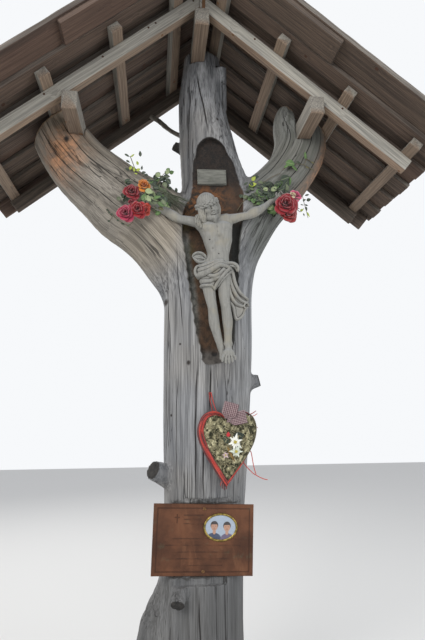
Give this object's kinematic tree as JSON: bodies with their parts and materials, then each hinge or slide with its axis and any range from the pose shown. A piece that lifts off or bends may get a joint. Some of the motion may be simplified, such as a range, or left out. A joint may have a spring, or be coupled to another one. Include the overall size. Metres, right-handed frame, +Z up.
{
  "type": "wayside shrine",
  "caption": "Wayside shrine: a natural three-armed pine trunk set as a post, with a small board gable roof over a carved crucifix figure, a plaque and a heart-shaped wreath.",
  "frame": {"origin": "centre of the trunk's foot at ground level", "axes": "+X to the viewer's right, +Y to the back, +Z up; the figure faces -Y"},
  "size_m": [1.8592, 0.868, 2.8836],
  "materials": {
    "weathered_trunk": "silver-grey weathered pine, drying cracks",
    "roof_timber": "planed softwood, greyed",
    "roof_board": "rough dark boards",
    "carved_wood": "carved, weathered pale grey",
    "tablet_wood": "greyed",
    "plaque_metal": "dark browned bronze",
    "screw_metal": "dull",
    "medallion_brass": "tarnished",
    "medallion_ceramic": "glazed",
    "dried_moss": "dry moss",
    "red_raffia": "raffia strands",
    "check_ribbon": "small red and white check",
    "felt_flower": "white felt",
    "cloth_rose": "cloth petals",
    "cloth_leaf": "cloth leaves"
  },
  "bodies": {
    "root": {"trunk": "weathered_trunk", "ridge_purlin": "roof_timber", "left_purlin": "roof_timber", "right_purlin": "roof_timber", "front_rafter_left": "roof_timber", "front_rafter_right": "roof_timber", "back_rafter_left": "roof_timber", "back_rafter_right": "roof_timber", "battens_left": "roof_timber", "battens_right": "roof_timber", "lower_boards_left": "roof_board", "lower_boards_right": "roof_board", "cover_boards_left": "roof_board", "cover_boards_right": "roof_board", "verge_strip_left": "roof_board", "verge_strip_right": "roof_board", "ridge_board_left": "roof_board", "ridge_board_right": "roof_board", "brace_pole": "weathered_trunk", "figure_body": "carved_wood", "figure_arms": "carved_wood", "figure_loincloth": "carved_wood", "figure_crown": "carved_wood", "tablet": "tablet_wood", "plaque": "plaque_metal", "plaque_screws": "screw_metal", "medallion_ring": "medallion_brass", "medallion_picture": "medallion_ceramic", "heart_filling": "dried_moss", "heart_raffia": "red_raffia", "raffia_end_long": "red_raffia", "raffia_end_short": "red_raffia", "heart_bow": "check_ribbon", "heart_flowers": "felt_flower", "roses_left": "cloth_rose", "roses_right": "cloth_rose", "leaves_left": "cloth_leaf", "leaves_right": "cloth_leaf"}
  },
  "joints": []
}
